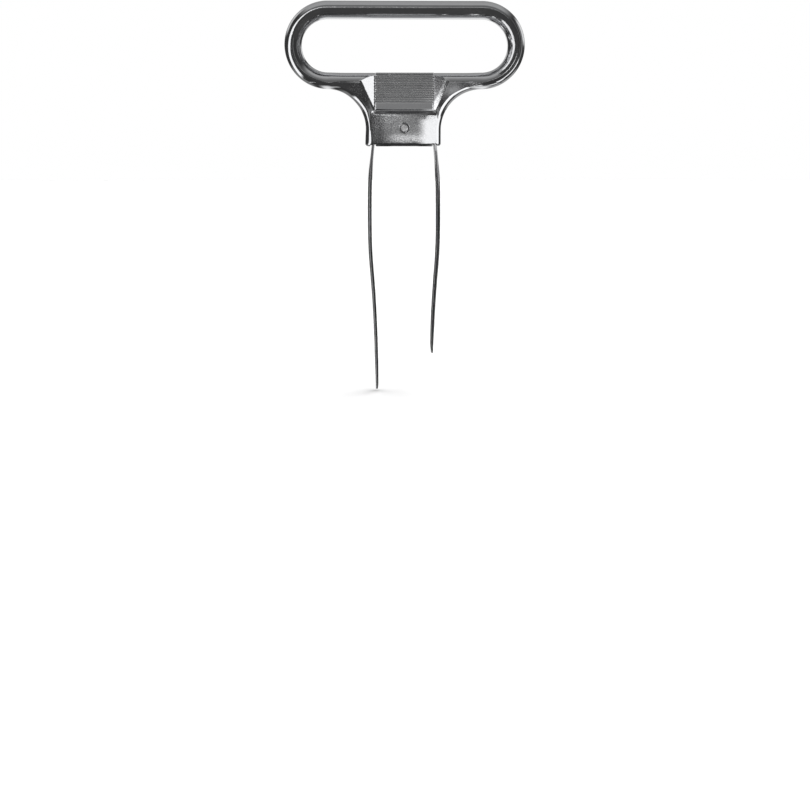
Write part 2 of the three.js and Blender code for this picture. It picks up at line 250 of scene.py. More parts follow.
def web_and_collar(x, y, z, swell):
    edge = silhouette(x, z)
    thin = smooth(8.9, 10.7, z)
    depth = web_face(x) + 1.28 * (1 - thin) * (1 - np.minimum(x / 9.6, 1.0) ** 2)
    depth = depth - 0.42 * (np.clip(4.4 - z, 0.0, 4.4) / 4.4) ** 2
    a = swell * (1.5 + 0.3 * smooth(8.0, 11.0, z) - 0.5 * smooth(14.0, 17.0, z))
    u, v = np.maximum(1 + edge / a, 0.0), y / depth
    k = np.sqrt(np.maximum(u * u + v * v, 1e-6))
    g = np.hypot(u / a, v / depth) / np.maximum(k, 0.3)
    f = (k - 1.0) / np.maximum(g, 0.15)
    return np.maximum(round_max(f, -z, 0.9), z - 18.5)


def pad_front(z):
    return PAD_DEPTH + PAD_SLOPE * (z - PAD_BOTTOM)


def ribbed_pad(x, y, z):
    face = (y - pad_front(z)) / math.hypot(1.0, PAD_SLOPE)
    window = smooth(RIB_FROM - 0.1, RIB_FROM + 0.1, z) * (1 - smooth(RIB_TO - 0.1, RIB_TO + 0.1, z))
    groove = 0.5 - 0.5 * np.cos((z - RIB_FROM) * (2 * math.pi / RIB_PITCH))
    ribbed = face + RIB_DEPTH * groove * window
    fall = (FACET_CORNER[2] - pad_front(FACET_CORNER[1])) / (FACET_CORNER[0] - PAD_HALF_WIDTH)
    facet = (y - (pad_front(z) + fall * (x - PAD_HALF_WIDTH))) / math.sqrt(1 + fall ** 2 + PAD_SLOPE ** 2)
    below = PAD_BOTTOM - z
    middle = soft_max(
        soft_max(ribbed, z - PAD_TOP, 0.3), np.maximum(x - PAD_HALF_WIDTH, below), 0.08
    )
    q = x - PAD_HALF_WIDTH
    arc = z - (20.35 - 0.05 * q - 0.062 * np.maximum(q, 0) ** 2)
    side = soft_max(soft_max(facet, face + 0.2, 0.1), soft_max(arc, below, 0.1), 0.12)
    side = np.maximum(np.maximum(side, 1.6 - y), x - 13.0)
    return np.minimum(middle, side)


def casting(x, y, z):
    # the left flank of the web and the collar stands out a little more than the right one
    left = np.where(x < 0, 0.3 * (1 - smooth(12.0, 18.0, z)) + 0.4 * (1 - smooth(-6.0, 13.0, z)), 0.0)
    swell = np.where(x < 0, 1 + 0.35 * (1 - smooth(1.0, 6.5, z)), 1.0)
    corner = np.where(x < 0, 1.2, 1.6)
    # and the loop reaches a little further out on the right
    reach = np.where(x > 0, 0.5 * smooth(13.0, 27.0, x), 0.0)
    x, y = np.abs(x) - reach, np.abs(y)
    flank = x - left * smooth(7.0, 10.5, x)
    f = soft_min(finger_loop(x, y, z), web_and_collar(flank, y, z, swell), 0.12)
    f = soft_min(f, ribbed_pad(x, y, z), 0.5)
    pocket = np.maximum(round_max(x - 10.05, y - 3.85, corner), z - 9.65)
    f = soft_max(f, -pocket, 0.12)
    away = np.hypot(x, z - PIN_HEIGHT)
    bore = away - 1.28
    dish = (away - (1.28 + np.maximum(y - 4.72, 0.0) * 0.32)) * 0.95
    return soft_max(f, -np.minimum(bore, dish), 0.2)


points, faces, normals = skin(
    casting,
    steps_between((-35.5, -14.0, 0.35), (-14.0, 14.0, 0.285), (14.0, 36.0, 0.35)),
    steps_between((-8.4, 8.4, 0.3)),
    steps_between((-0.6, 10.0, 0.3), (10.0, 12.3, 0.23), (12.3, 21.4, 0.09), (21.4, 43.0, 0.33)),
)
print("casting", len(points), "points", len(faces), "quads")
handle = make_mesh("cast_handle", points, faces, normals)

# ---- blades -----------------------------------------------------------------------------------------
FACE = rows([
    (7.6, 9.4), (6, 9.4), (4, 9.4), (2, 9.43), (0, 9.6), (-2.4, 9.88), (-4.7, 10.2), (-8.2, 10.58),
    (-12, 10.76), (-16, 10.82), (-21, 10.84), (-26, 10.8), (-31, 10.64), (-35, 10.38), (-40, 9.98),
    (-45, 9.62), (-50, 9.34), (-56, 9.08), (-62, 8.9), (-68, 8.76), (-73, 8.68),
])
THICK, HALF_WIDTH, TIP_HALF_WIDTH, HOLLOW = 0.8, 3.5, 2.7, 0.45
LIP_HEIGHT, LIP_REACH, LIP_BEND = 8.8, 6.5, 1.1


def ramp(v, a, b):
    t = min(1.0, max(0.0, (v - a) / (b - a)))
    return t * t * (3 - 2 * t)


def blade(name, side, length):
    """A spring steel strip: a lip bent in over the spacer, a straight tang, and a hollowed blade."""
    half = THICK / 2
    corner = float(FACE(7.6)) - half
    path = []
    for i in range(9):
        path.append((LIP_REACH + (corner - LIP_BEND - LIP_REACH) * i / 9, LIP_HEIGHT))
    for i in range(15):
        a = math.pi / 2 * (1 - i / 14)
        path.append((corner - LIP_BEND + LIP_BEND * math.cos(a),
                     LIP_HEIGHT - LIP_BEND + LIP_BEND * math.sin(a)))
    start = LIP_HEIGHT - LIP_BEND
    levels = list(np.arange(start - 0.35, -length + 3.4, -0.45))
    levels += [-length + TIP_HALF_WIDTH * (1 - math.cos(a)) for a in np.linspace(math.pi / 2, 0.04, 24)]
    path += [(float(FACE(z)) - half, z) for z in levels]
    path = np.array(path)
    along = np.gradient(path, axis=0)
    along /= np.linalg.norm(along, axis=1)[:, None]
    out = np.stack([-along[:, 1], along[:, 0]], 1)
    edge = 0.26
    flat = np.linspace(-1, 1, 21)
    arcs = np.linspace(0, 1, 6)[1:-1]
    points, normals = [], []
    for (x, z), (ox, oz) in zip(path, out):
        below = max(0.0, -z)
        b = HALF_WIDTH + (TIP_HALF_WIDTH - HALF_WIDTH) * ramp(below, 12, length)
        b -= 0.5 * ramp(z, -1.8, 3.0)  # the tang is narrower than the blade
        left = length + z
        if z < 0 and left < TIP_HALF_WIDTH:
            b *= math.sqrt(max(0.0, 1 - (1 - left / TIP_HALF_WIDTH) ** 2))
        t = half * (1 - 0.3 * ramp(-left, -9, 0)) if z < 0 else half
        hollow = HOLLOW * ramp(below, 1, 9) * (b / HALF_WIDTH) ** 2
        r = min(edge, 0.8 * b, 0.85 * t)
        flat_half = b - r

        def add(w, o, nw, no):
            o = o - hollow * (w / max(b, 1e-6)) ** 2
            nw2 = nw + no * 2 * hollow * w / max(b, 1e-6) ** 2
            s = math.hypot(nw2, no)
            points.append((side * (x + ox * o), w, z + oz * o))
            normals.append((side * ox * no / s, nw2 / s, oz * no / s))

        for f in flat:
            add(flat_half * f, t, 0.0, 1.0)
        for q in arcs:
            a = math.pi / 2 * (1 - q)
            add(flat_half + r * math.cos(a), t - r + r * math.sin(a), math.cos(a), math.sin(a))
        add(b, t - r, 1.0, 0.0)
        add(b, 0.0, 1.0, 0.0)
        add(b, -t + r, 1.0, 0.0)
        for q in arcs:
            a = -math.pi / 2 * q
            add(flat_half + r * math.cos(a), -t + r + r * math.sin(a), math.cos(a), math.sin(a))
        for f in flat[::-1]:
            add(flat_half * f, -t, 0.0, -1.0)
        for q in arcs:
            a = -math.pi / 2 * (1 - q)
            add(-flat_half - r * math.cos(a), -t + r + r * math.sin(a), -math.cos(a), math.sin(a))
        add(-b, -t + r, -1.0, 0.0)
        add(-b, 0.0, -1.0, 0.0)
        add(-b, t - r, -1.0, 0.0)
        for q in arcs:
            a = math.pi / 2 * q
            add(-flat_half - r * math.cos(a), t - r + r * math.sin(a), -math.cos(a), math.sin(a))
    n = len(points) // len(path)
    last = len(path) - 1
    quads = []
    for i in range(last):
        for j in range(n):
            k = (j + 1) % n
            quads.append((i * n + j, i * n + k, (i + 1) * n + k, (i + 1) * n + j))
    mesh = bpy.data.meshes.new(name)
    cap = [tuple(range(n - 1, -1, -1)), tuple(range(last * n, last * n + n))]
    if side > 0:
        quads = [q[::-1] for q in quads]
        cap = [c[::-1] for c in cap]
    mesh.from_pydata([tuple(c * MM for c in p) for p in points], [], quads + cap)
    mesh.update()
    mesh.polygons.foreach_set("use_smooth", [True] * len(quads) + [False] * len(cap))
    # the ends keep their own flat shading
    split = []
    for polygon in mesh.polygons:
        for v in polygon.vertices:
            split.append(tuple(polygon.normal) if polygon.index >= len(quads) else normals[v])
    mesh.normals_split_custom_set(split)
    piece = bpy.data.objects.new(name, mesh)
    bpy.context.scene.collection.objects.link(piece)
    return piece


blade_long = blade("steel_blade_long", -1, 73.0)
blade_short = blade("steel_blade_short", 1, 62.0)


# ---- spacer between the tangs -----------------------------------------------------------------------
def block(x, y, z):
    x, y = np.abs(x), np.abs(y)
    lean = 0.4 / 7.95
    side = (x - (8.4 - lean * z)) / math.hypot(1.0, lean)
    f = round_max(round_max(side, y - 3.55, 0.35), z - 7.95, 0.35)
    f = round_max(f, -z, 0.3)
    bore = np.hypot(x, z - PIN_HEIGHT) - 1.28
    return soft_max(f, -bore, 0.1)


points, faces, normals = skin(
    block,
    steps_between((-8.8, -7.6, 0.15), (-7.6, 7.6, 0.4), (7.6, 8.8, 0.15)),
    steps_between((-3.9, -3.0, 0.15), (-3.0, 3.0, 0.4), (3.0, 3.9, 0.15)),
    steps_between((-0.3, 0.6, 0.15), (0.6, 3.6, 0.4), (3.6, 8.25, 0.15)),
)
spacer = make_mesh("steel_spacer", points, faces, normals)


# ---- cross pin --------------------------------------------------------------------------------------
def pin(name):
    """A pin with both ends peened: a turned shank and hammered heads."""
    rng = np.random.default_rng(7)
    r, end = 1.2, 4.98
    profile = [(0.10, end - 0.005), (0.3, end - 0.012), (0.5, end - 0.028), (0.68, end - 0.05),
               (0.84, end - 0.085), (0.97, end - 0.135), (1.07, end - 0.2), (1.15, end - 0.28),
               (1.19, end - 0.37), (1.2, end - 0.5), (1.2, 3.6), (1.2, 2.4), (1.2, 1.2), (1.2, 0.0)]
    profile += [(q, -y) for q, y in profile[-2::-1]]
    n = 56
    dents = [(rng.uniform(-0.8, 0.8), rng.uniform(-0.8, 0.8), rng.uniform(0.22, 0.42),
              rng.uniform(0.02, 0.05)) for _ in range(14)]
    points = []
    for q, y in profile:
        for j in range(n):
            a = 2 * math.pi * j / n
            px, pz = q * math.cos(a), q * math.sin(a)
            yy = y
            if abs(y) > end - 0.3:
                fade = max(0.0, 1 - q / 1.15)
                dent = sum(d * math.exp(-((px - cx) ** 2 + (pz - cz) ** 2) / (2 * (0.5 * s) ** 2))
                           for cx, cz, s, d in dents)
                yy = y - math.copysign(dent * min(1.0, 3 * fade), y)
            points.append((px, -yy, pz + PIN_HEIGHT))
    count = len(profile)
    quads = []
    for i in range(count - 1):
        for j in range(n):
            k = (j + 1) % n
            quads.append((i * n + k, i * n + j, (i + 1) * n + j, (i + 1) * n + k))
    hubs = [len(points), len(points) + 1]
    points += [(0.0, -points[0][1] * -1.0, PIN_HEIGHT), (0.0, -points[(count - 1) * n][1] * -1.0, PIN_HEIGHT)]
    fans = []
    for j in range(n):
        k = (j + 1) % n
        fans.append((hubs[0], j, k))
        fans.append((hubs[1], (count - 1) * n + k, (count - 1) * n + j))
    mesh = bpy.data.meshes.new(name)
    mesh.from_pydata([tuple(c * MM for c in p) for p in points], [], quads + fans)
    mesh.update()
    mesh.polygons.foreach_set("use_smooth", [True] * len(mesh.polygons))
    piece = bpy.data.objects.new(name, mesh)
    bpy.context.scene.collection.objects.link(piece)
    return piece


cross_pin = pin("peened_pin")


# ---- node helpers -----------------------------------------------------------------------------------
class Graph:
    def __init__(self, tree):
        self.tree = tree
        tree.nodes.clear()

    def add(self, kind, **values):
        node = self.tree.nodes.new(kind)
        for key, value in values.items():
            setattr(node, key, value)
        return node

    def link(self, value, socket):
        if isinstance(value, bpy.types.NodeSocket):
            self.tree.links.new(value, socket)
        else:
            socket.default_value = value

    def math(self, operation, a, b=0.0, c=0.0, clamp=False):
        node = self.add("ShaderNodeMath", operation=operation, use_clamp=clamp)
        for value, socket in zip((a, b, c), node.inputs):
            self.link(value, socket)
        return node.outputs[0]

    def math_vector(self, operation, a, scale):
        node = self.add("ShaderNodeVectorMath", operation=operation)
        self.link(a, node.inputs[0])
        node.inputs["Scale"].default_value = scale
        return node.outputs[0]

    def span(self, value, a, b, to_a=0.0, to_b=1.0):
        """A smooth step from to_a at a to to_b at b."""
        node = self.add("ShaderNodeMapRange", interpolation_type="SMOOTHSTEP")
        for v, key in ((value, "Value"), (a, "From Min"), (b, "From Max"), (to_a, "To Min"), (to_b, "To Max")):
            self.link(v, node.inputs[key])
        return node.outputs[0]

    def table(self, value, pairs):
        """Straight lines through (value, level) pairs."""
        low, high = pairs[0][0], pairs[-1][0]
        most = max(level for _, level in pairs)
        node = self.add("ShaderNodeMapRange")
        for v, key in ((value, "Value"), (low, "From Min"), (high, "From Max"), (0.0, "To Min"), (1.0, "To Max")):
            self.link(v, node.inputs[key])
        ramp_node = self.add("ShaderNodeValToRGB")
        self.link(node.outputs[0], ramp_node.inputs[0])
        stops = ramp_node.color_ramp.elements
        while len(stops) > 1:
            stops.remove(stops[-1])
        for i, (at, level) in enumerate(pairs):
            stop = stops[0] if i == 0 else stops.new((at - low) / (high - low))
            stop.position = (at - low) / (high - low)
            stop.color = (level / most, level / most, level / most, 1)
        return self.math("MULTIPLY", ramp_node.outputs[0], most)

    def noise(self, vector, scale, detail=2.0, rough=0.5, distortion=0.0):
        node = self.add("ShaderNodeTexNoise")
        self.link(vector, node.inputs["Vector"])
        for v, key in ((scale, "Scale"), (detail, "Detail"), (rough, "Roughness"), (distortion, "Distortion")):
            self.link(v, node.inputs[key])
        return node.outputs["Fac"]

    def colours(self, fac, a, b):
        node = self.add("ShaderNodeMix", data_type="RGBA")
        self.link(fac, node.inputs[0])
        self.link(a, node.inputs[6])
        self.link(b, node.inputs[7])
        return node.outputs[2]

    def bump(self, height, distance, normal=None, strength=1.0):
        node = self.add("ShaderNodeBump")
        self.link(strength, node.inputs["Strength"])
        self.link(distance, node.inputs["Distance"])
        self.link(height, node.inputs["Height"])
        if normal is not None:
            self.link(normal, node.inputs["Normal"])
        return node.outputs[0]

    def stretched(self, vector, scale):
        node = self.add("ShaderNodeMapping")
        self.link(vector, node.inputs["Vector"])
        node.inputs["Scale"].default_value = scale
        return node.outputs[0]


def metal(name, build):
    material = bpy.data.materials.new(name)
    material.use_nodes = True
    g = Graph(material.node_tree)
    shader = g.add("ShaderNodeBsdfPrincipled")
    shader.inputs["Metallic"].default_value = 1.0
    out = g.add("ShaderNodeOutputMaterial")
    g.tree.links.new(shader.outputs[0], out.inputs["Surface"])
    place = g.add("ShaderNodeTexCoord").outputs["Object"]
    build(g, shader, place)
    return material


def chrome(g, shader, place):
    """Bright plating over a die casting: slow unevenness, a fine grain that is coarser where the mould was
    rough (the collar's face, the pad and its bevels), painted shade in the grooves between the ribs, under the pad
    and on the right-hand bevels, and a painted highlight on the pad's face."""
    axes = g.add("ShaderNodeSeparateXYZ")
    g.link(g.math_vector("SCALE", place, 1000.0), axes.inputs[0])
    x, y, z = g.math("ABSOLUTE", axes.outputs[0]), g.math("ABSOLUTE", axes.outputs[1]), axes.outputs[2]
    broad = g.noise(place, 160.0, 2.0, 0.5)
    cloud = g.noise(place, 420.0, 3.0, 0.55, 0.4)
    grain = g.noise(place, 2900.0, 2.0, 0.6)
    patch = g.noise(place, 800.0, 2.0, 0.5)
    specks = g.span(g.noise(place, 3800.0, 1.0, 0.5), 0.60, 0.70)
    # where the grain is coarse
    collar = g.math("MULTIPLY", g.span(axes.outputs[0], 3.0, 7.5, 1.0, 0.12), g.span(z, 9.2, 10.2, 1.0, 0.0))
    collar = g.math("MULTIPLY", collar, g.span(z, 0.2, 1.6))
    bevel = g.math("MULTIPLY", g.math("MULTIPLY", g.span(x, 8.3, 8.7), g.span(axes.outputs[0], -4.0, 4.0, 0.15, 0.9)),
                   g.math("MULTIPLY", g.span(z, 12.0, 13.0), g.span(z, 19.8, 20.4, 1.0, 0.0)))
    pad = g.math("MULTIPLY", g.span(x, 8.3, 8.6, 1.0, 0.0), g.span(z, 12.0, 12.8))
    front = g.span(y, 3.95, 4.15)
    rough_cast = g.math("MULTIPLY", g.math("MAXIMUM", g.math("MULTIPLY", collar, 0.9),
                                           g.math("MAXIMUM", bevel, g.math("MULTIPLY", pad, 0.18))), front)
    rough_cast = g.math("MULTIPLY", rough_cast, g.math("MULTIPLY_ADD", patch, 0.8, 0.5))
    # painted shade in the grooves between the ribs
    wave = g.math("COSINE", g.math("MULTIPLY", g.math("SUBTRACT", z, RIB_FROM), 2 * math.pi / RIB_PITCH))
    groove = g.span(g.math("MULTIPLY_ADD", wave, -0.5, 0.5), 0.35, 0.95)
    groove = g.math("MULTIPLY", groove, g.math("MULTIPLY", g.span(z, RIB_FROM, RIB_FROM + 0.1),
                                               g.span(z, RIB_TO - 0.1, RIB_TO, 1.0, 0.0)))
    groove = g.math("MULTIPLY", groove, g.math("MULTIPLY", g.span(x, 8.38, 8.48, 1.0, 0.0), front))
    tint = g.math("MULTIPLY_ADD", cloud, 0.5, g.math("MULTIPLY", grain, 0.5))
    plate = g.colours(tint, (0.62, 0.625, 0.64, 1), (0.76, 0.765, 0.775, 1))
    pits = g.span(g.noise(place, 3400.0, 2.0, 0.65), 0.36, 0.66)
    coarse = g.colours(pits, (0.40, 0.405, 0.42, 1), (0.98, 0.985, 0.99, 1))
    plate = g.colours(g.math("MULTIPLY", rough_cast, 0.85), plate, coarse)
    # painted highlight: the pad's front is made paler
    plate = g.colours(g.math("MULTIPLY", pad, g.math("MULTIPLY", front, 0.7)), plate, (0.96, 0.965, 0.97, 1))
    # painted shade: the rib grooves are darkened
    plate = g.colours(g.math("MULTIPLY", groove, 0.38), plate, (0.16, 0.16, 0.165, 1))
    # painted shade: the right-hand bevels are darkened, with a mottle, but for a strip along the outer edge
    mottle = g.span(g.noise(place, 2300.0, 2.0, 0.6), 0.38, 0.62)
    within = g.math("SUBTRACT", x, g.math("MULTIPLY_ADD", z, 0.503, 3.118))
    right_bevel_painted_shade = g.math("MULTIPLY", g.math("MULTIPLY", bevel, front), g.span(within, -1.15, -0.55, 1.0, 0.0))
    right_bevel_painted_shade = g.math("MULTIPLY", right_bevel_painted_shade, g.span(axes.outputs[0], -4.0, 4.0))
    right_bevel_painted_shade = g.math("MULTIPLY", right_bevel_painted_shade, g.math("MULTIPLY_ADD", mottle, 0.28, 0.68))
    plate = g.colours(right_bevel_painted_shade, plate, (0.12, 0.12, 0.125, 1))
    # painted shadow in the valley under the pad's lower edge
    valley_painted_shadow = g.math("MULTIPLY", g.math("MULTIPLY", g.span(z, 9.15, 9.5), g.span(z, 10.25, 10.45, 1.0, 0.0)),
                    g.span(x, 8.0, 8.9, 1.0, 0.0))
    plate = g.colours(g.math("MULTIPLY", g.math("MULTIPLY", valley_painted_shadow, front), 0.7), plate, (0.12, 0.12, 0.125, 1))
    g.link(plate, shader.inputs["Base Color"])
    rough = g.math("MULTIPLY_ADD", cloud, 0.09, 0.03)
    rough = g.math("MULTIPLY_ADD", specks, 0.10, rough)
    rough = g.math("MULTIPLY_ADD", rough_cast, 0.12, rough)
    g.link(rough, shader.inputs["Roughness"])
    n = g.bump(broad, 0.00006)
    n = g.bump(cloud, 0.000014, n)
    n = g.bump(grain, g.math("MULTIPLY_ADD", rough_cast, 0.00006, 0.000007), n)
    g.link(n, shader.inputs["Normal"])


def spring_steel(g, shader, place):
    """Rolled spring steel strip: a satin face with fine lengthwise marks, brighter along the edges."""
    lines = g.noise(g.stretched(place, (1.0, 1.0, 0.02)), 5200.0, 2.0, 0.6)
    cloud = g.noise(g.stretched(place, (1.0, 1.0, 0.25)), 500.0, 3.0, 0.6)
    rub = g.span(g.noise(g.stretched(place, (1.0, 1.0, 0.08)), 1500.0, 2.0, 0.5), 0.52, 0.66)
    tone = g.math("MULTIPLY_ADD", lines, 0.6, g.math("MULTIPLY", cloud, 0.4))
    g.link(g.colours(tone, (0.26, 0.26, 0.265, 1), (0.46, 0.46, 0.47, 1)), shader.inputs["Base Color"])
    rough = g.math("MULTIPLY_ADD", cloud, 0.18, 0.14)
    rough = g.math("MULTIPLY_ADD", rub, 0.08, rough)
    g.link(rough, shader.inputs["Roughness"])
    n = g.bump(lines, 0.0000022)
    n = g.bump(cloud, 0.000006, n)
    g.link(n, shader.inputs["Normal"])


def milled_steel(g, shader, place):
    """The block in the collar: duller steel with short mill marks across it."""
    lines = g.noise(g.stretched(place, (0.06, 1.0, 1.0)), 3600.0, 2.0, 0.6)
    cloud = g.noise(place, 700.0, 3.0, 0.6)
    g.link(g.colours(g.math("MULTIPLY_ADD", lines, 0.5, g.math("MULTIPLY", cloud, 0.5)),
                     (0.20, 0.20, 0.205, 1), (0.40, 0.40, 0.405, 1)), shader.inputs["Base Color"])
    g.link(g.math("MULTIPLY_ADD", cloud, 0.22, 0.26), shader.inputs["Roughness"])
    g.link(g.bump(lines, 0.000006), shader.inputs["Normal"])


def hammered_steel(g, shader, place):
    """The pin's steel: small facets left by the hammer, and a grey bloom."""
    facets = g.add("ShaderNodeTexVoronoi")
    g.link(place, facets.inputs["Vector"])
    facets.inputs["Scale"].default_value = 2600.0
    cloud = g.noise(place, 1600.0, 3.0, 0.6)
    g.link(g.colours(cloud, (0.84, 0.84, 0.85, 1), (0.98, 0.98, 0.985, 1)), shader.inputs["Base Color"])
    g.link(g.math("MULTIPLY_ADD", cloud, 0.2, 0.28), shader.inputs["Roughness"])
    g.link(g.bump(facets.outputs["Distance"], 0.00003), shader.inputs["Normal"])


finishes = {
    handle: ("chrome_plate", chrome, "handle", "handle", "chrome_plating"),
    blade_long: ("spring_steel", spring_steel, "long_blade", "long_blade", "spring_steel"),
    blade_short: ("spring_steel_2", spring_steel, "short_blade", "short_blade", "spring_steel"),
    spacer: ("milled_steel", milled_steel, "handle", "tang_spacer", "spacer_steel"),
    cross_pin: ("hammered_steel", hammered_steel, "handle", "cross_pin", "pin_steel"),
}
for piece, (name, build, body, node, slot) in finishes.items():
    piece.data.materials.append(metal(name, build))
    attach(piece, body)
    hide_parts(node)


# ---- stage: floor, light and camera -----------------------------------------------------------------
def disc(name, radius, height, n=96):
    mesh = bpy.data.meshes.new(name)
    ring = [(radius * math.cos(2 * math.pi * i / n), radius * math.sin(2 * math.pi * i / n), height)
            for i in range(n)]
    mesh.from_pydata(ring, [], [tuple(range(n))])
    piece = bpy.data.objects.new(name, mesh)
    bpy.context.scene.collection.objects.link(piece)
    return piece


floor = disc("floor", 3.0, -0.0735)
pale = bpy.data.materials.new("pale_floor")
pale.use_nodes = True
g = Graph(pale.node_tree)
shader = g.add("ShaderNodeBsdfDiffuse")
shader.inputs["Color"].default_value = (0.93, 0.93, 0.93, 1)
out = g.add("ShaderNodeOutputMaterial")
g.tree.links.new(shader.outputs[0], out.inputs["Surface"])
floor.data.materials.append(pale)
floor.visible_glossy = False

# The studio round the part, as directions: the angle from the -Y axis, and the turn about it.
world = bpy.data.worlds.new("studio")
bpy.context.scene.world = world
world.use_nodes = True
g = Graph(world.node_tree)
direction = g.add("ShaderNodeTexCoord").outputs["Generated"]
parts = g.add("ShaderNodeSeparateXYZ")
g.link(direction, parts.inputs[0])
dx, dy, dz = parts.outputs
DEG = 180 / math.pi
theta = g.math("MULTIPLY", g.math("ARCCOSINE", g.math("MULTIPLY", dy, -1.0)), DEG)
psi = g.math("MULTIPLY", g.math("ARCTAN2", dz, dx), DEG)


def sector(centre, half, soft):
    """1 within half of the turn centre, falling to 0 over soft."""
    d = g.math("ABSOLUTE", g.math("WRAP", g.math("SUBTRACT", psi, centre), 180.0, -180.0))
    return g.span(d, half - soft / 2, half + soft / 2, 1.0, 0.0)


def zone(value, a, b, soft):
    """1 between a and b."""
    up = g.span(value, a - soft / 2, a + soft / 2)
    down = g.span(value, b - soft / 2, b + soft / 2, 1.0, 0.0)
    return g.math("MULTIPLY", up, down)


def both(a, b):
    return g.math("MULTIPLY", a, b)


def blend(level, mask, value):
    """level, moved to value where mask is 1."""
    return g.math("MULTIPLY_ADD", mask, g.math("SUBTRACT", value, level), level)


turn = g.math("WRAP", psi, 360.0, 0.0)
light = g.math("ADD", 0.0, 0.057)                                # the dark side where the camera stands
# pale things behind, at the diagonals
light = blend(light, both(sector(22.0, 15.0, 12.0), zone(theta, 112.0, 152.0, 10.0)), 1.1)
light = blend(light, both(sector(125.0, 34.0, 14.0), zone(theta, 118.0, 152.0, 10.0)), 0.85)
light = blend(light, both(sector(225.0, 20.0, 14.0), zone(theta, 124.0, 165.0, 8.0)), 0.3)
light = blend(light, both(sector(312.0, 22.0, 14.0), zone(theta, 128.0, 165.0, 8.0)), 0.5)
# overhead: a grey ceiling with a paler panel
light = blend(light, sector(88.0, 38.0, 22.0), g.table(theta, [
    (0, 0.055), (7, 0.055), (11, 0.62), (16, 0.60), (22, 0.20), (45, 0.20), (57, 0.30), (67, 0.38),
    (77, 0.60), (87, 0.52), (98, 0.50), (108, 0.55), (117, 0.50), (138, 0.42), (160, 0.42)]))
# underneath: mostly dark near the camera, then the bright table behind the part
light = blend(light, sector(273.0, 15.0, 10.0), g.table(theta, [
    (0, 0.055), (8, 0.055), (12, 0.45), (16, 0.40), (22, 0.07), (36, 0.10), (50, 0.055), (59, 0.08),
    (67, 0.05), (74, 0.08), (80, 0.07), (85, 0.035), (91, 0.20), (94, 0.36), (99, 0.38), (106, 0.60),
    (113, 0.90), (138, 1.25)]))
# left: a long strip that leans, nearer the camera at its top
strip = g.table(turn, [(60, 0), (105, 12), (120, 20), (134, 25), (147, 34), (161, 44), (175, 56),
                       (188, 73), (204, 86), (218, 99), (228, 110)])
wide = g.table(turn, [(100, 6), (120, 9), (134, 13), (150, 20), (172, 22), (186, 22), (196, 23), (208, 23)])
away = g.math("SUBTRACT", g.math("ABSOLUTE", g.math("SUBTRACT", theta, strip)), wide)
light = blend(light, both(g.span(away, -3.0, 3.0, 1.0, 0.0), zone(turn, 100.0, 226.0, 8.0)), 1.7)
# right: a low panel, level with the part, and two grey edges above it
light = blend(light, both(sector(326.0, 18.0, 8.0), zone(theta, 79.0, 95.0, 6.0)), 1.7)
light = blend(light, both(sector(298.0, 11.0, 6.0), zone(theta, 84.0, 106.0, 6.0)), 1.7)
light = blend(light, both(sector(2.0, 42.0, 20.0), zone(theta, 45.0, 54.0, 5.0)), 0.24)
light = blend(light, both(sector(8.0, 24.0, 12.0), zone(theta, 84.0, 104.0, 6.0)), 0.32)
# straight behind, the bright backdrop
light = blend(light, g.span(theta, 162.0, 170.0), 1.05)

lamp = g.add("ShaderNodeBackground")
g.link(light, lamp.inputs["Strength"])
out = g.add("ShaderNodeOutputWorld")
g.tree.links.new(lamp.outputs[0], out.inputs["Surface"])


def lit_dome(name, radius, n=48, m=24):
    """A plain bright surround, seen only by the camera."""
    mesh = bpy.data.meshes.new(name)
    points, quads = [], []
    for i in range(m + 1):
        e = -math.pi / 2 + math.pi * i / m
        for j in range(n):
            a = 2 * math.pi * j / n
            points.append((radius * math.cos(e) * math.cos(a), radius * math.cos(e) * math.sin(a),
                           radius * math.sin(e)))
    for i in range(m):
        for j in range(n):
            k = (j + 1) % n
            quads.append((i * n + j, i * n + k, (i + 1) * n + k, (i + 1) * n + j))
    mesh.from_pydata(points, [], quads)
    piece = bpy.data.objects.new(name, mesh)
    bpy.context.scene.collection.objects.link(piece)
    material = bpy.data.materials.new(name)
    material.use_nodes = True
    gg = Graph(material.node_tree)
    glow = gg.add("ShaderNodeEmission")
    glow.inputs["Strength"].default_value = 1.0
    end = gg.add("ShaderNodeOutputMaterial")
    gg.tree.links.new(glow.outputs[0], end.inputs["Surface"])
    mesh.materials.append(material)
    piece.visible_glossy = False
    piece.visible_diffuse = False
    piece.visible_shadow = False
    piece.visible_transmission = False
    return piece


lit_dome("backdrop", 4.0)


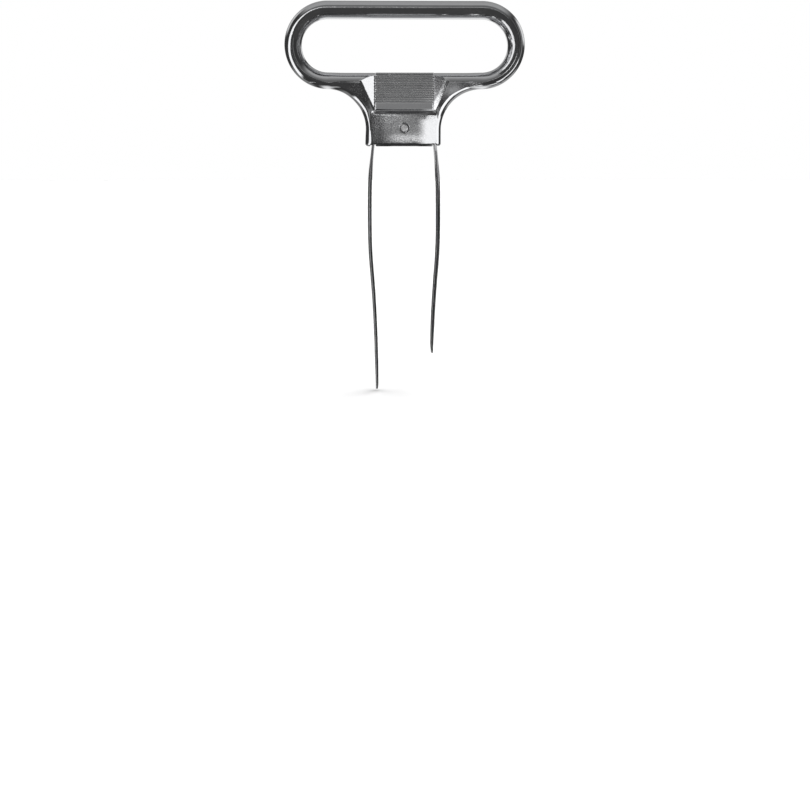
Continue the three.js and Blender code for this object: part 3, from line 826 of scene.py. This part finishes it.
def card(name, corners, strength, fade, one_sided=False):
    """A small lit card close to the part, seen only in the plating."""
    mesh = bpy.data.meshes.new(name)
    mesh.from_pydata([tuple(c * MM for c in p) for p in corners], [], [(0, 1, 2, 3)])
    piece = bpy.data.objects.new(name, mesh)
    bpy.context.scene.collection.objects.link(piece)
    material = bpy.data.materials.new(name)
    material.use_nodes = True
    gg = Graph(material.node_tree)
    glow = gg.add("ShaderNodeEmission")
    glow.inputs["Strength"].default_value = strength
    # it is clear at its edges
    shape = 1.0
    for axis, (low, high) in fade.items():
        along = gg.add("ShaderNodeSeparateXYZ")
        gg.link(gg.add("ShaderNodeTexCoord").outputs["Generated"], along.inputs[0])
        edge = gg.math("MULTIPLY", gg.span(along.outputs[axis], 0.0, low),
                       gg.span(along.outputs[axis], 1.0 - high, 1.0, 1.0, 0.0))
        shape = gg.math("MULTIPLY", edge, shape)
    if one_sided:
        back = gg.add("ShaderNodeNewGeometry").outputs["Backfacing"]
        shape = gg.math("MULTIPLY", gg.math("SUBTRACT", 1.0, back), shape)
    mix = gg.add("ShaderNodeMixShader")
    gg.link(shape, mix.inputs[0])
    gg.tree.links.new(gg.add("ShaderNodeBsdfTransparent").outputs[0], mix.inputs[1])
    gg.tree.links.new(glow.outputs[0], mix.inputs[2])
    end = gg.add("ShaderNodeOutputMaterial")
    gg.tree.links.new(mix.outputs[0], end.inputs["Surface"])
    mesh.materials.append(material)
    piece.visible_camera = False
    piece.visible_diffuse = False
    piece.visible_shadow = False
    piece.visible_transmission = False
    return piece


card("card_right", [(4, -7.5, -1.6), (15, -7.5, -1.6), (15, -7.5, 8.3), (4, -7.5, 8.3)], 1.27,
     {0: (0.38, 0.06), 2: (0.08, 0.08)})
card("card_corner", [(14, -8, -1.6), (14, -1.5, -1.6), (14, -1.5, 8.3), (14, -8, 8.3)], 1.4,
     {1: (0.02, 0.15), 2: (0.08, 0.08)})
card("card_side", [(24, -48, -13), (24, -48, 11), (24, -2.5, 11), (24, -2.5, -13)], 1.5,
     {1: (0.15, 0.1), 2: (0.1, 0.08)}, one_sided=True)
card("card_web", [(12, -30, 14), (20, -30, 14), (20, -30, 20.5), (12, -30, 20.5)], 0.4,
     {0: (0.4, 0.4), 2: (0.4, 0.4)})
card("card_front", [(-9, -14, -1.6), (11, -14, -1.6), (11, -14, 3.2), (-9, -14, 3.2)], 1.0,
     {0: (0.35, 0.1), 2: (0.45, 0.45)})
card("card_middle", [(-24, -30, -9), (16, -30, -9), (16, -30, 12.5), (-24, -30, 12.5)], 0.27,
     {0: (0.36, 0.1), 2: (0.08, 0.08)})
card("flag_above", [(-26, -60, 24.5), (54, -60, 24.5), (54, -4.2, 24.5), (-26, -4.2, 24.5)], 0.06,
     {0: (0.08, 0.05), 1: (0.05, 0.01)}, one_sided=True)
card("card_end", [(20, -8.4, 24.8), (20, -4.4, 24.8), (20, -4.4, 36), (20, -8.4, 36)], 1.2,
     {1: (0.1, 0.15), 2: (0.1, 0.1)}, one_sided=True)
card("flag_end", [(20, -60, 22), (20, -8.6, 22), (20, -8.6, 39), (20, -60, 39)], 0.057, {}, one_sided=True)
card("flag_side", [(-46, -29, -9), (-15, -29, -9), (-15, -29, 27), (-46, -29, 27)], 0.057,
     {0: (0.05, 0.1), 2: (0.05, 0.05)})
card("card_under", [(-9.5, -12, -9), (9.5, -12, -9), (9.5, 7, -9), (-9.5, 7, -9)], 0.03,
     {0: (0.05, 0.05), 1: (0.05, 0.05)})

# a soft light overhead, for the floor alone
overhead = bpy.data.lights.new("overhead", "SUN")
overhead.energy = 3.12
overhead.angle = math.radians(70)
overhead.specular_factor = 0.0
overhead_object = bpy.data.objects.new("overhead", overhead)
overhead_object.rotation_euler = (math.radians(-12), math.radians(8), 0)
overhead_object.visible_glossy = False
bpy.context.scene.collection.objects.link(overhead_object)

camera = bpy.data.cameras.new("camera")
camera.sensor_fit = "HORIZONTAL"
camera.sensor_width = 36.0
camera.lens = 60.0
camera.shift_y = -0.08
camera.clip_start, camera.clip_end = 0.01, 20.0
camera_object = bpy.data.objects.new("camera", camera)
bpy.context.scene.collection.objects.link(camera_object)
yaw, pitch, roll = math.radians(1.5), math.radians(-7.98), 0.0
forward = Vector((math.sin(yaw) * math.cos(pitch), math.cos(yaw) * math.cos(pitch), math.sin(pitch)))
right0 = Vector((math.cos(yaw), -math.sin(yaw), 0.0))
up0 = right0.cross(forward)
right = right0 * math.cos(roll) + up0 * math.sin(roll)
up = up0 * math.cos(roll) - right0 * math.sin(roll)
turn = Matrix((right, up, -forward)).transposed().to_4x4()
camera_object.matrix_world = Matrix.Translation((-0.0103, -0.4049, -0.00135)) @ turn
scene = bpy.context.scene
scene.camera = camera_object
scene.view_settings.view_transform = "Standard"
